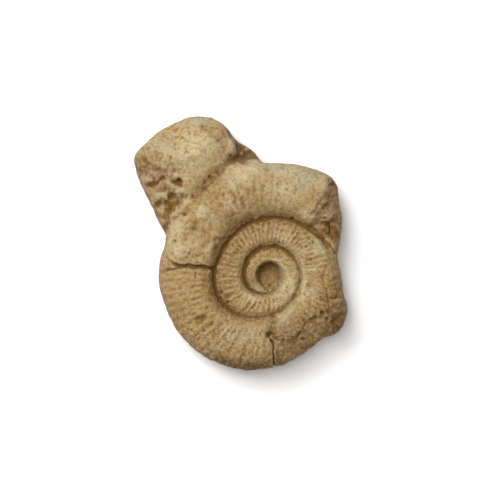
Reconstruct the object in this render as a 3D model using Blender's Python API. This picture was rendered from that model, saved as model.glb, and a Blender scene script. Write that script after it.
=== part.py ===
"""An ammonite fossil: the limestone mould of a coiled, ribbed shell with a lump of its rock on it.

It is one solid stone that lies on its flat underside with the coil facing up. The coil is drawn
round its own axis, in millimetres, and the finished stone is moved so that the middle of its
bounding box stands over the world origin and its underside lies on z = 0.

A bearing is an angle in degrees round the coil's axis, clockwise as seen from above, from +X. The
shell grew clockwise, so a turn angle is a bearing that goes on counting: 360 to 720 is the second
turn, and so on. A whorl is named by the turn angle of the groove on its outer side.
"""

import math

import bmesh
import bpy
import numpy as np
from mathutils import noise

MM = 0.001
NAME = "ammonite_fossil"

# ---------------------------------------------------------------- driving dimensions, millimetres

REST_PATCH = 16.0  # radius of the flat patch in the middle of the underside
HOLLOW_DEPTH = 1.8  # how far the shallow hollows of the underside go up
UNDERCUT = 1.6  # how far the rough lower half of the sides draws in

# The stone's outline from above, anticlockwise from the right, about the coil's axis.
OUTLINE = [
    (28.4, 2.0), (27.4, 7.2), (28.2, 13.2), (28.9, 19.2), (28.9, 24.0), (27.9, 28.8),
    (27.2, 33.6), (25.8, 37.2), (23.2, 39.6), (17.6, 42.1), (11.2, 44.0), (4.0, 44.6),
    (-1.6, 44.7), (-3.8, 45.6), (-8.0, 50.0), (-12.2, 53.0), (-14.8, 56.0), (-17.2, 59.2),
    (-20.4, 61.6), (-24.4, 62.9), (-29.4, 63.3), (-34.8, 62.0), (-39.2, 59.8), (-44.4, 57.0),
    (-49.2, 52.8), (-52.8, 49.0), (-54.2, 45.8), (-53.3, 41.8), (-51.0, 35.6), (-47.4, 28.0),
    (-44.0, 21.2), (-42.0, 17.4), (-41.2, 14.8), (-41.8, 11.6), (-43.4, 6.8), (-44.2, 1.2),
    (-43.8, -4.4), (-42.0, -11.2), (-38.4, -20.0), (-33.4, -26.4), (-27.2, -31.9),
    (-20.4, -35.4), (-13.6, -37.5), (-6.8, -38.1), (0.0, -37.5), (2.8, -36.5), (7.0, -35.2),
    (12.0, -32.6), (16.8, -29.1), (21.2, -25.4), (25.6, -23.2), (29.0, -20.4), (30.5, -17.2),
    (30.7, -13.6), (29.8, -10.0), (29.2, -4.4),
]

# Each pair below is a bearing or a turn angle in degrees, and a size there.
RIM_HEIGHT = [  # height of the stone's widest line above the table
    (0, 12.0), (30, 13.0), (60, 13.5), (100, 12.0), (150, 12.6), (185, 12.0), (215, 13.6),
    (240, 14.6), (262, 12.0), (290, 14.0), (330, 13.0), (360, 12.0),
]
UNDERSIDE_EDGE = [  # width of the rounding between that line and the flat underside
    (0, 7.0), (25, 5.5), (60, 9.0), (100, 11.0), (140, 8.0), (180, 9.5), (210, 7.0), (228, 10.0),
    (250, 7.0), (265, 6.0), (300, 9.0), (335, 6.0), (360, 7.0),
]
COIL_EDGE = [  # radius of the outer whorl's own edge, where rock goes on outside it
    (0, 70.0), (150, 70.0), (185, 60.0), (200, 47.5), (221, 47.4), (233, 47.4), (243, 48.4),
    (252, 47.8), (264, 46.6), (272, 52.0), (285, 70.0), (360, 70.0),
]
TOP_EDGE = [  # width of the rounding from the top down to the widest line
    (0, 7.0), (20, 9.0), (45, 15.0), (75, 13.0), (100, 11.0), (180, 11.0), (200, 9.0),
    (215, 12.0), (235, 16.0), (250, 11.0), (258, 7.0), (270, 10.0), (295, 10.0), (315, 6.0),
    (340, 6.0), (360, 7.0),
]
SEAM_RADIUS = [  # the spiral groove between the whorls
    (-270, 7.2), (-247, 5.8), (-225, 5.3), (-180, 5.4), (-135, 5.7), (-90, 5.6), (-45, 5.0),
    (0, 4.8), (45, 5.6), (70, 6.6), (90, 7.2), (113, 8.3), (150, 10.1), (180, 10.6),
    (225, 11.3), (270, 12.2), (315, 12.1), (360, 12.0), (405, 13.3), (450, 15.8), (470, 18.3),
    (495, 20.9), (517, 22.2), (540, 22.6), (585, 22.9), (630, 23.6), (675, 24.2), (693, 26.9),
    (706, 28.6), (716, 33.0), (730, 45.0), (760, 90.0),
]
SEAM_HEIGHT = [(-270, 12.0), (0, 12.4), (180, 14.0), (360, 14.7), (540, 15.5), (760, 16.8)]
CREST_HEIGHT = [
    (0, 15.8), (90, 16.6), (180, 17.5), (270, 18.0), (360, 18.4), (450, 19.0), (540, 19.8),
    (630, 20.6), (720, 21.6), (810, 23.0), (900, 24.2), (990, 26.0), (1080, 26.0),
]
INNER_SLOPE = [  # width of a whorl's slope up from the groove on its inner side
    (90, 0.5), (150, 1.4), (360, 2.0), (540, 3.2), (630, 3.4), (680, 2.8), (720, 2.6),
    (810, 4.4), (900, 5.6), (940, 8.0), (990, 12.0), (1080, 9.0),
]
OUTER_SLOPE = 0.34  # width of an inner whorl's slope down to the groove, as a share of its width
WHORL_FULLNESS = 1.5  # how round a whorl's shoulders are
PIT_SAG = 0.3  # how far the middle of the central pit lies below its edge

RIBS_PER_TURN = [(0, 46), (360, 60), (620, 66), (760, 80), (1080, 84)]
RIB_HEIGHT = [
    (90, 0.1), (200, 0.2), (400, 0.36), (560, 0.5), (680, 0.45), (715, 0.05), (830, 0.05),
    (860, 0.3), (905, 0.36), (915, 0.0), (970, 0.0), (985, 0.34), (1010, 0.3), (1035, 0.0),
    (1080, 0.0),
]
RIB_REACH = [(0, 1.2), (920, 1.2), (950, 0.5), (1080, 0.5)]  # share of the width that is ribbed
RIB_LEAN = 2.0  # degrees by which a rib's outer end lies ahead of its inner end
RIB_WEAR = 0.3  # share of a rib's height that is left on the worn outer edge of the coil

# The lump of rock beside the coil: a dome cut by sloping faces. Each face is a point on it, its
# height there, the way it falls and how steeply.
LUMP_TOP = (-32.0, 48.0, 27.5)
LUMP_CURVE = 0.006
LUMP_FACES = [
    ((-44.0, 42.6), 26.2, (-0.5, -0.86), 0.85),  # the broken face on the far left
    ((-35.0, 36.5), 24.8, (-0.85, -0.5), 0.5),  # and where it turns in towards the coil
    ((-17.0, 54.0), 23.5, (0.97, -0.2), 1.8),  # the drop on the right
    ((-19.0, 53.0), 24.6, (0.9, -0.3), 0.3),  # and the gentler slope above it
    ((-24.0, 44.0), 25.6, (0.684, -0.729), 0.42),  # the slope down to the valley
    ((-30.0, 58.0), 24.4, (-0.3, 1.0), 0.3),  # the far end
]
LUMP_SIDE = ((-23.2, 39.2), (0.684, -0.729), 3.4, 6.0)  # the side that meets the coil
LOW_FACET = 16.5  # height of the low facet between the lump and the coil's far edge
EDGE_HEIGHT = 13.0  # height that the coil and the lump slope down to where they meet
COIL_EDGE_WIDTH = 10.0  # width of the coil's slope there

# Steps: a line, how much higher the stone is on the line's left, and how far this reaches.
STEPS = [
    ([(-46.0, 7.6), (-41.6, 6.8), (-38.0, 4.8), (-33.6, 3.6), (-26.8, 3.2), (-20.0, 2.4)], 1.6, 13.0),
    (
        [(31.0, -8.0), (22.0, -13.0), (17.6, -16.4), (11.2, -22.0), (10.0, -25.0), (0.8, -24.6),
         (2.0, -30.0), (1.8, -40.0)],
        -1.1,
        10.0,
    ),
    ([(23.0, 43.0), (21.2, 32.0), (20.0, 28.4), (18.4, 26.0), (14.0, 23.0), (9.0, 18.5)], -1.3, 14.0),
]
STEP_WIDTH = 0.8

# Cracks: a line, its width and its depth.
CRACKS = [
    ([(2.0, -17.2), (0.8, -22.0), (0.8, -26.0), (2.0, -30.0), (2.2, -33.2), (1.8, -39.0)], 0.9, 1.6),
    ([(0.8, -24.6), (5.2, -24.4), (10.8, -25.2), (17.2, -25.6)], 0.7, 0.8),
    ([(17.6, -16.4), (15.6, -17.6), (13.6, -19.2), (11.2, -22.0)], 0.8, 1.0),
    ([(21.2, 32.0), (20.0, 28.4), (18.4, 26.0), (16.0, 24.2)], 0.9, 0.8),
    ([(22.0, 2.8), (22.0, -2.0), (22.8, -6.0), (22.8, -8.8), (23.2, -14.8)], 0.8, 0.7),
    ([(-45.0, 7.0), (-38.0, 4.4), (-33.6, 3.2), (-26.8, 2.8), (-20.0, 2.2)], 0.6, 0.7),
    ([(-28.4, -18.4), (-26.8, -17.2), (-25.6, -16.0), (-24.0, -16.8)], 0.7, 0.8),
    ([(-48.6, 35.2), (-45.2, 36.8), (-42.4, 38.4)], 1.5, 1.0),
]
# Pits and knobs: a middle, a radius and a depth, which is negative for a knob.
PITS = [
    (-36.8, 37.0, 1.3, 2.2), (-39.4, 30.6, 1.5, 1.0), (-41.0, 28.6, 1.2, 1.0),
    (-44.8, 27.4, 1.4, 0.8), (-13.8, 46.8, 2.8, 1.6), (-24.4, 39.4, 1.0, 0.9),
    (21.4, 20.2, 2.0, 1.6), (24.4, 16.8, 2.6, 2.6), (25.4, 36.0, 1.8, 1.2),
    (0.4, -24.0, 1.0, 1.2), (22.8, -17.6, 1.4, 1.2), (27.0, -19.6, 2.6, 1.2),
    (-19.6, -8.4, 1.1, 0.9), (-16.6, -12.0, 1.1, 0.7), (15.6, -4.0, 1.0, 0.5),
    (25.8, -13.0, 4.2, -1.6), (-19.8, 2.6, 1.6, -0.7), (-26.4, 5.2, 2.2, -0.6),
    (16.0, 21.4, 2.6, -1.2), (23.4, 26.0, 2.8, -1.0), (3.0, -15.8, 0.9, -0.6),
]
ROUGHNESS = 0.3  # height of the larger unevenness of the stone's skin

STONE_COLOUR = (0.4, 0.3, 0.17, 1.0)  # linear, warm pale brown
MIDDLE = (-11.7, 12.6)  # the middle of the stone's bounding box, from the coil's axis

# The surface is drawn on a unit ball. Going down from the ball's pole by these heights, the points
# lie on the top of the stone, then on its rounding, then on its widest line, then underneath.
BALL_STEPS = 8
TOP_END = 0.845
WIDEST = 1.486
UNDERSIDE_START = 1.83
TRIANGLES = 9900

# ---------------------------------------------------------------- curves


def curve(knots, at):
    """A smooth curve through (position, value) knots that never overshoots them, read at at."""
    xs, ys = np.array(knots, float).T
    steps = np.diff(xs)
    climbs = np.diff(ys) / steps
    same_way = climbs[:-1] * climbs[1:] > 0
    ahead = np.where(same_way, climbs[1:], 1)
    behind = np.where(same_way, climbs[:-1], 1)
    near, far = steps[:-1] + 2 * steps[1:], 2 * steps[:-1] + steps[1:]
    middle = np.where(same_way, (near + far) / (near / behind + far / ahead), 0)
    slopes = np.concatenate([[climbs[0]], middle, [climbs[-1]]])
    at = np.clip(at, xs[0], xs[-1])
    i = np.clip(np.searchsorted(xs, at) - 1, 0, len(xs) - 2)
    h = xs[i + 1] - xs[i]
    t = (at - xs[i]) / h
    value = ys[i] * (1 + 2 * t) * (1 - t) ** 2 + ys[i + 1] * t * t * (3 - 2 * t)
    return value + h * t * (1 - t) * (slopes[i] * (1 - t) - slopes[i + 1] * t)


def closed_outline(corners, steps=6):
    """Points along the smooth closed curve through these corners."""
    p = np.array(corners, float)
    before, after, beyond = np.roll(p, 1, 0), np.roll(p, -1, 0), np.roll(p, -2, 0)
    runs = []
    for t in np.arange(steps) / steps:
        leaving = (after - before) / 2
        arriving = (beyond - p) / 2
        straight = p * (1 + 2 * t) * (1 - t) ** 2 + after * t * t * (3 - 2 * t)
        runs.append(straight + t * (1 - t) * (leaving * (1 - t) - arriving * t))
    return np.stack(runs, 1).reshape(-1, 2)


def bearing_of(x, y):
    return np.degrees(np.arctan2(-y, x)) % 360


def smooth_step(x):
    x = np.clip(x, 0, 1)
    return x * x * (3 - 2 * x)


def smooth_max(a, b, blend):
    """The larger of the two, with the corner where they meet rounded over this height."""
    h = np.clip(0.5 + (a - b) / (2 * blend), 0, 1)
    return b + (a - b) * h + blend * h * (1 - h)


def smooth_min(a, b, blend):
    return -smooth_max(-a, -b, blend)


def shoulder(distance, width, fullness=2.0):
    """A slope that rises from 0 at the edge to 1 from this width inwards, where it is level.

    At fullness 1 it is part of a parabola, at fullness 2 a quarter of an ellipse.
    """
    return (1 - (1 - np.clip(distance / width, 0, 1)) ** 2) ** (1 / fullness)


def distance_to_line(x, y, line):
    """How far each point is from a line of straight runs, and on which side (+ on its left)."""
    nearest = np.full(x.shape, np.inf)
    aside = np.zeros(x.shape)
    for (ax, ay), (bx, by) in zip(line[:-1], line[1:]):
        dx, dy = bx - ax, by - ay
        length = math.hypot(dx, dy)
        t = np.clip(((x - ax) * dx + (y - ay) * dy) / length**2, 0, 1)
        distance = np.hypot(x - ax - t * dx, y - ay - t * dy)
        left = (dx * (y - ay) - dy * (x - ax)) / length
        same = np.abs(distance - nearest) < 1e-6
        better = (distance < nearest) & ~same | same & (np.abs(left) > np.abs(aside))
        aside = np.where(better, left, aside)
        nearest = np.minimum(nearest, distance)
    return nearest, np.sign(aside)


def falling_face(x, y, through, height, down, slope):
    """Height of a flat face through a point, falling by slope millimetres a millimetre this way."""
    way = (x - through[0]) * down[0] + (y - through[1]) * down[1]
    return height - slope * way / math.hypot(*down)


def rough(points, size, octaves=3):
    """Fractal noise, mostly within -1 to 1, whose largest lumps are about this size."""
    return np.array([noise.fractal(p, 1.0, 2.0, octaves) for p in (points / size).tolist()])


# ---------------------------------------------------------------- the coil


def turn_at(x, y):
    """The turn angle of the whorl under each point, and whether the point is on a whorl at all."""
    bearing = bearing_of(x, y)
    radius = np.hypot(x, y)
    start = np.where(bearing < 90, bearing, bearing - 360)
    turn = start.copy()
    for _ in range(4):
        turn = np.where(radius > curve(SEAM_RADIUS, turn), turn + 360, turn)
    return turn, turn > start


def coil_height(x, y):
    """Height of the coil's whorls, as if the outer one went on outwards for ever."""
    turn, on_whorl = turn_at(x, y)
    radius = np.hypot(x, y)
    inner = curve(SEAM_RADIUS, turn - 360)
    outer = curve(SEAM_RADIUS, turn)
    crest = curve(CREST_HEIGHT, turn)
    low = curve(SEAM_HEIGHT, turn - 360)
    wide = curve(INNER_SLOPE, turn)
    rise = low + (crest - low) * shoulder(radius - inner, wide, WHORL_FULLNESS)
    low = curve(SEAM_HEIGHT, turn)
    wide = np.minimum(OUTER_SLOPE * (outer - inner), 5.0)
    fall = low + (crest - low) * shoulder(outer - radius, wide, WHORL_FULLNESS)
    whorl = smooth_min(rise, fall, 0.3)
    pit = curve(SEAM_HEIGHT, turn) - PIT_SAG * (1 - (radius / outer) ** 2)
    return np.where(on_whorl, whorl, pit)


def rib_wave(x, y):
    """The ribs: a wave between -1 and 1 along every whorl, fading out at the grooves."""
    turn, on_whorl = turn_at(x, y)
    radius = np.hypot(x, y)
    inner = curve(SEAM_RADIUS, turn - 360)
    outer = np.minimum(curve(SEAM_RADIUS, turn), 46.0)
    across = np.clip((radius - inner) / (outer - inner), 0, 1.2)
    knots = np.arange(0, 1100, 20)
    counted = np.concatenate([[0], np.cumsum(curve(RIBS_PER_TURN, knots[:-1] + 10) * 20 / 360)])
    ribs = curve(list(zip(knots, counted)), turn - RIB_LEAN * across)
    wave = np.cos(2 * math.pi * ribs)
    shown = smooth_step(across / 0.15) * smooth_step((curve(RIB_REACH, turn) - across) / 0.2)
    shown = shown * np.where(turn < 700, smooth_step((1 - across) / 0.12), 1)
    return np.where(on_whorl, wave * shown * curve(RIB_HEIGHT, turn), 0)


# ---------------------------------------------------------------- the whole stone


def lump_height(x, y):
    height = LUMP_TOP[2] - LUMP_CURVE * ((x - LUMP_TOP[0]) ** 2 + (y - LUMP_TOP[1]) ** 2)
    for through, level, down, slope in LUMP_FACES:
        height = smooth_min(height, falling_face(x, y, through, level, down, slope), 1.5)
    (sx, sy), (nx, ny), beyond, width = LUMP_SIDE
    inside = beyond - (x - sx) * nx - (y - sy) * ny
    height = EDGE_HEIGHT + (height - EDGE_HEIGHT) * shoulder(inside, width)
    return np.maximum(height, LOW_FACET)


def top_height(x, y):
    """Height of the stone's upper side, before its edge is rounded."""
    radius = np.hypot(x, y)
    coil = coil_height(x, y)
    outside_inner_coil = smooth_step((radius - 23.0) / 3.0)
    for line, height, reach in STEPS:
        away, side = distance_to_line(x, y, line)
        step = smooth_step(0.5 + side * away / STEP_WIDTH) * smooth_step(1.5 - away / reach)
        coil = coil + height * step * outside_inner_coil
    inside = curve(COIL_EDGE, bearing_of(x, y)) - radius
    coil = EDGE_HEIGHT + (coil - EDGE_HEIGHT) * shoulder(inside, COIL_EDGE_WIDTH)
    return smooth_max(coil, lump_height(x, y), 1.5)


def carve_depth(x, y):
    """How far cracks and pits go into the stone, and knobs out of it."""
    depth = np.zeros(x.shape)
    for line, width, deep in CRACKS:
        away, _ = distance_to_line(x, y, line)
        depth = np.maximum(depth, deep * np.exp(-((away / width) ** 2)))
    for px, py, size, deep in PITS:
        depth = depth + deep * np.exp(-(((x - px) ** 2 + (y - py) ** 2) / size**2))
    return depth


def stone_points(ball):
    """Lay the points of a unit ball on the stone: its upper half on top, its lower half underneath."""
    outline = closed_outline(OUTLINE)
    turns = np.arctan2(outline[:, 1], outline[:, 0]) % (2 * math.pi)
    outline = np.roll(outline, -int(np.argmin(turns)), 0)
    turns = np.sort(turns)
    angle = np.arctan2(ball[:, 1], ball[:, 0]) % (2 * math.pi)
    last = np.searchsorted(turns, angle) % len(turns)
    (ax, ay), (bx, by) = outline[last - 1].T, outline[last].T
    across = np.cos(angle) * (by - ay) - np.sin(angle) * (bx - ax)
    reach = (ax * by - bx * ay) / across

    down = 1 - ball[:, 2]
    bearing = np.degrees(-angle) % 360
    top_edge = curve(TOP_EDGE, bearing)
    under_edge = curve(UNDERSIDE_EDGE, bearing)
    top_share = top_edge / reach
    under_share = under_edge / reach
    rim = np.clip((down - TOP_END) / (WIDEST - TOP_END), 0, 1) * math.pi / 2
    under = np.clip((down - WIDEST) / (UNDERSIDE_START - WIDEST), 0, 1) * math.pi / 2
    share = (1 - top_share) * np.sqrt(np.clip(down / TOP_END, 0, 1))
    share = np.where(down > TOP_END, 1 - top_share * (1 - np.sin(rim)), share)
    share = np.where(down > WIDEST, 1 - under_share * (1 - np.cos(under)), share)
    flat = (1 - under_share) * np.sqrt(np.clip((2 - down) / (2 - UNDERSIDE_START), 0, 1))
    share = np.where(down > UNDERSIDE_START, flat, share)

    x = reach * share * np.cos(angle)
    y = reach * share * np.sin(angle)
    from_edge, _ = distance_to_line(x, y, np.vstack([outline, outline[:1]]).tolist())
    top = top_height(x, y)
    rim_height = curve(RIM_HEIGHT, bearing)
    upper = rim_height + (top - rim_height) * shoulder(from_edge, top_edge)
    lower = rim_height * (1 - shoulder(from_edge, under_edge))
    return np.stack([x, y, np.where(down < WIDEST, upper, lower)], 1)


def skin_relief(points):
    """How far the skin stands out of the plain stone at each point: ribs, roughness, cracks, pits."""
    x, y, z = points.T
    radius = np.hypot(x, y)
    on_coil = smooth_step((curve(COIL_EDGE, bearing_of(x, y)) - radius) / 3.0)
    worn = RIB_WEAR + (1 - RIB_WEAR) * smooth_step((z - 14.0) / 4.0)
    uneven = 0.85 + 0.5 * rough(points, 5.0, 1)
    ribs = rib_wave(x, y) * on_coil * worn * uneven
    low_side = smooth_step((z - 2.0) / 4.0) * smooth_step((12.0 - z) / 5.0)
    undercut = UNDERCUT * low_side * (0.5 + 0.5 * rough(points - 20.0, 17.0, 2))
    relief = ribs + ROUGHNESS * rough(points, 11.0, 1) - carve_depth(x, y)
    return relief * smooth_step((z - 3.0) / 6.0) - undercut


def underside_hollows(points):
    """How far the underside goes up off the table, clear of the flat patch in its middle."""
    x, y, _ = points.T
    from_middle = np.hypot(x - MIDDLE[0], y - MIDDLE[1])
    hollow = HOLLOW_DEPTH * rough(points + 40.0, 26.0, 2)
    return np.maximum(hollow * smooth_step((from_middle - REST_PATCH) / 6.0), 0)


def make_stone():
    sheet = bmesh.new()
    bmesh.ops.create_icosphere(sheet, subdivisions=BALL_STEPS, radius=1.0)
    mesh = bpy.data.meshes.new(NAME)
    sheet.to_mesh(mesh)
    sheet.free()
    ball = np.empty(len(mesh.vertices) * 3, np.float32)
    mesh.vertices.foreach_get("co", ball)
    points = stone_points(ball.reshape(-1, 3).astype(float))
    mesh.vertices.foreach_set("co", points.astype(np.float32).ravel())
    mesh.update()
    normals = np.empty(points.size, np.float32)
    mesh.vertex_normals.foreach_get("vector", normals)
    low = points[:, 2] < 3.0
    points[:, 2] += np.where(low, underside_hollows(points), 0)
    points += skin_relief(points)[:, None] * normals.reshape(-1, 3)
    points[:, 2] = np.maximum(points[:, 2], 0)
    mesh.vertices.foreach_set("co", (points * MM).astype(np.float32).ravel())
    mesh.update()
    return mesh


def thinned(mesh):
    """The same mesh with only so many triangles, fewest where it is flat."""
    draft = bpy.data.objects.new("draft", mesh)
    bpy.context.scene.collection.objects.link(draft)
    thin = draft.modifiers.new("thin", "DECIMATE")
    thin.ratio = TRIANGLES / len(mesh.polygons)
    graph = bpy.context.evaluated_depsgraph_get()
    result = bpy.data.meshes.new_from_object(draft.evaluated_get(graph))
    bpy.data.objects.remove(draft)
    bpy.data.meshes.remove(mesh)
    return result


def main():
    for thing in list(bpy.data.objects):
        bpy.data.objects.remove(thing)
    stone = thinned(make_stone())
    stone.name = NAME
    corners = np.empty(len(stone.vertices) * 3, np.float32)
    stone.vertices.foreach_get("co", corners)
    corners = corners.reshape(-1, 3)
    low, high = corners.min(0), corners.max(0)
    corners -= [(low[0] + high[0]) / 2, (low[1] + high[1]) / 2, low[2]]
    stone.vertices.foreach_set("co", corners.ravel())
    for face in stone.polygons:
        face.use_smooth = True

    limestone = bpy.data.materials.new("limestone")
    limestone.use_nodes = True
    surface = limestone.node_tree.nodes["Principled BSDF"]
    surface.inputs["Base Color"].default_value = STONE_COLOUR
    surface.inputs["Roughness"].default_value = 0.9
    surface.inputs["Metallic"].default_value = 0.0
    stone.materials.append(limestone)

    group = bpy.data.collections.new(NAME)
    bpy.context.scene.collection.children.link(group)
    group.objects.link(bpy.data.objects.new(NAME, stone))


main()
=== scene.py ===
"""An ammonite fossil in pale limestone, lying on a white table with its coil facing up.

The stone is shaped round the coil's own axis, in millimetres. A bearing is an angle in degrees
round that axis, clockwise from above, from +X. The shell grew clockwise, so a turn angle is a
bearing that goes on counting, and a whorl is named by the turn angle of the groove outside it.
"""

import math

import bmesh
import bpy
import numpy as np
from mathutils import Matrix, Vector, noise


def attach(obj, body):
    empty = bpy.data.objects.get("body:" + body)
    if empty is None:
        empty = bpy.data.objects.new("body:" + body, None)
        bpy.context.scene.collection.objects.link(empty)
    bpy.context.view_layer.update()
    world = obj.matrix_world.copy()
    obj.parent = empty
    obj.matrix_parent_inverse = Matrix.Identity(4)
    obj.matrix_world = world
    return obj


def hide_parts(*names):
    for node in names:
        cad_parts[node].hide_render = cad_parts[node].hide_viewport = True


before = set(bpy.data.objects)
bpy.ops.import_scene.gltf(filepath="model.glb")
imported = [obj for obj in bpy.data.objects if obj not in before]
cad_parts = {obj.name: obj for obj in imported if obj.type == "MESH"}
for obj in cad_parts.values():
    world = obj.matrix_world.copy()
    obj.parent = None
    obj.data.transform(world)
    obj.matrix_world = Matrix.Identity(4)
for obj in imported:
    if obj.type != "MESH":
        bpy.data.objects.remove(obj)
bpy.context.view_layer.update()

MM = 0.001

# -------------------- the stone's form, millimetres

REST_PATCH = 16.0  # radius of the flat patch in the middle of the underside
HOLLOW_DEPTH = 1.8  # how far the shallow hollows of the underside go up
HOLLOW_START = 6.0  # width over which they start round the patch
UNDERSIDE_HEIGHT = 3.0  # the surface below this is underside
UNDERCUT = 1.6  # how far the rough lower half of the sides draws in
MIDDLE = (-11.7, 12.6)  # the middle of the stone's bounding box, from the coil's axis

# The stone's outline from above, anticlockwise from the right, about the coil's axis.
OUTLINE = [
    (28.4, 2), (27.4, 7.2), (28.2, 13.2), (28.9, 19.2), (28.9, 24), (27.9, 28.8), (27.6, 33.8),
    (26.3, 37.4), (23.4, 39.8), (17.6, 42.1), (11.2, 44), (4, 44.6), (-1.6, 44.7), (-3.6, 45.9),
    (-7.6, 50.4), (-12.2, 53), (-14.8, 56), (-17.2, 59.2), (-20.4, 61.6), (-24.4, 62.9), (-29.4, 63.3),
    (-34.8, 62), (-39.2, 59.8), (-44.4, 57), (-49.2, 52.8), (-52.8, 49), (-54.2, 45.8), (-53.3, 41.8),
    (-51, 35.6), (-47.4, 28), (-44, 21.2), (-42, 17.4), (-41.2, 14.8), (-41.8, 11.6), (-43.4, 6.8),
    (-44.2, 1.2), (-43.8, -4.4), (-42, -11.2), (-38.4, -20), (-33.4, -26.4), (-27.2, -31.9),
    (-20.4, -35.4), (-13.6, -37.5), (-6.8, -38.1), (0, -37.5), (2.8, -36.5), (7, -35.2), (12, -32.6),
    (16.8, -29.1), (21.2, -25.4), (26, -23.7), (29.5, -20.8), (30.5, -17.2), (30.7, -13.6), (29.8, -10),
    (29.2, -4.4),
]

# By bearing, in degrees:
RIM_HEIGHT = [  # height of the stone's widest line above the table
    (0, 12), (30, 13), (60, 13.5), (100, 12), (150, 12.6), (185, 12), (215, 13.6), (240, 14.6), (262, 12),
    (290, 14), (330, 13), (360, 12),
]
UNDERSIDE_EDGE = [  # width of the rounding between that line and the flat underside
    (0, 7), (25, 5.5), (60, 9), (100, 11), (140, 8), (180, 9.5), (210, 7), (228, 10), (250, 7), (265, 6),
    (300, 9), (335, 6), (360, 7),
]
COIL_EDGE = [  # radius of the outer whorl's own edge, where rock goes on outside it
    (0, 70), (150, 70), (185, 60), (200, 46.4), (213, 45), (221, 44.2), (233, 44), (240, 45.4),
    (246, 46.8), (252, 47.6), (264, 46.6), (272, 52), (285, 70), (360, 70),
]
TOP_EDGE = [  # width of the rounding from the top down to the widest line
    (0, 7), (20, 9), (45, 15), (75, 13), (100, 11), (180, 11), (200, 8), (216, 7), (222, 10), (235, 15),
    (246, 11), (252, 6), (256, 4), (263, 4.5), (270, 7), (295, 8), (315, 6), (340, 6), (360, 7),
]

# By turn angle, in degrees:
SEAM_RADIUS = [  # radius of the spiral groove between the whorls
    (-270, 7.2), (-262, 6.2), (-247, 5.4), (-225, 4.8), (-180, 4.4), (-135, 4.3), (-90, 4.4), (-45, 4.6),
    (0, 5), (45, 5.6), (70, 6.6), (90, 7.2), (113, 8.2), (150, 9.6), (180, 9.9), (225, 10.4), (270, 11.2),
    (315, 11.7), (360, 12.2), (405, 13.4), (450, 16), (470, 18), (495, 20.4), (512, 21.7), (530, 22),
    (545, 21.7), (560, 21.1), (575, 20.9), (600, 21.5), (630, 22.5), (650, 23.3), (675, 24), (693, 26.9),
    (706, 28.6), (716, 33), (730, 45), (760, 90),
]
SEAM_HEIGHT = [  # height of the groove's bottom
    (-270, 13.4), (-240, 12.6), (-180, 12.2), (-90, 13), (-45, 15), (0, 16), (50, 15.2), (90, 14),
    (180, 16.2), (270, 17.7), (330, 17.8), (380, 17.8), (440, 18), (500, 18), (540, 18.8), (580, 18.6),
    (640, 19.2), (668, 19.6), (678, 20.6), (686, 21.8), (706, 22.8), (760, 23.4),
]
CREST_HEIGHT = [  # height of the whorl's crest
    (0, 13), (90, 13.8), (140, 15.8), (190, 17.9), (270, 18.9), (360, 19), (450, 19.5), (540, 20.4),
    (630, 21.3), (720, 22.1), (810, 22.6), (900, 23.2), (990, 25), (1080, 25.4),
]
INNER_SLOPE = [  # width of a whorl's slope up from the groove on its inner side
    (90, 0.8), (150, 1.6), (270, 1.7), (360, 3), (450, 3.2), (540, 4.2), (630, 5.4), (680, 3.6), (710, 2),
    (740, 2), (810, 5), (878, 5.4), (892, 3.2), (912, 3.4), (940, 9), (990, 12), (1080, 9),
]
GROOVE_FILL = [  # depth of the old sediment that rounds the groove's bottom
    (90, 0.3), (300, 0.4), (345, 1.3), (385, 1.3), (430, 0.9), (470, 0.9), (510, 0.4), (640, 0.3),
    (680, 0.4),
]
GROOVE_CUT = [  # depth of the thin dark line left in the groove
    (90, 0.1), (180, 0.3), (280, 0.3), (330, 0), (480, 0), (520, 0.45), (660, 0.45), (690, 0),
]
GROOVE_CUT_WIDTH = 0.5  # half the width of that line
WHORLS = 4  # the most that the coil can have
FIRST_TURN = 90  # turn angle at which the innermost whorl starts
OUTER_SLOPE = 0.4  # width of an inner whorl's slope down to the groove, as a share of its width
WIDEST_OUTER_SLOPE = 5.0
WHORL_FULLNESS = 1.2  # how round a whorl's shoulders are
CREST_BLEND = 0.3  # height over which a whorl's two slopes round off at its crest
FILL_BLEND = 0.8  # and over which they round into the sediment
FILL_BELOW_CREST = 1.0  # how far below the crest the sediment stays
PIT_FLOOR = 12.2  # height of the central pit's floor
PIT_STEEPNESS = 4  # the power by which the floor curves up to the wall

# The ribs, by turn angle.
RIBS_PER_TURN = [
    (0, 40), (360, 44), (430, 40), (510, 40), (570, 56), (660, 60), (760, 66), (860, 80), (960, 70),
    (1080, 66),
]
RIB_HEIGHT = [  # half the height from a furrow to a rib's crest
    (90, 0.02), (200, 0.05), (380, 0.05), (430, 0.12), (465, 0.22), (510, 0.21), (545, 0.1), (580, 0.1),
    (600, 0.15), (650, 0.14), (680, 0.1), (720, 0.12), (750, 0.2), (775, 0.17), (800, 0.08), (860, 0.08),
    (885, 0.12), (905, 0.1), (915, 0), (950, 0), (962, 0.09), (990, 0.08), (1010, 0.05), (1030, 0.02),
    (1080, 0),
]
RIB_REACH = [  # share of the whorl's width that is ribbed, from its inner side
    (0, 1.2), (700, 1.2), (720, 0.45), (800, 0.5), (860, 1.2), (920, 1.2), (950, 0.75), (1080, 0.7),
]
COUNTED_TURNS = 1100  # turn angle that the ribs are counted to
COUNT_STEP = 20  # in steps of this many degrees
OUTER_WHORL = 700  # turn angle from which no groove bounds the whorl outside
RIBBED_RADIUS = 46.0  # radius at which the outer whorl's ribs end
PAST_WHORL = 1.2  # a place past a whorl's outer side, as a share of its width
RIB_START = (0.1, 0.3)  # shares of the width between which the ribs start
RIB_END = 0.2  # share over which they end at their reach
RIB_GROOVE_END = (1, 0.7)  # shares between which they end at an outer groove
RIB_LEAN = 2.0  # degrees by which a rib's outer end lies ahead of its inner end
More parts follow.
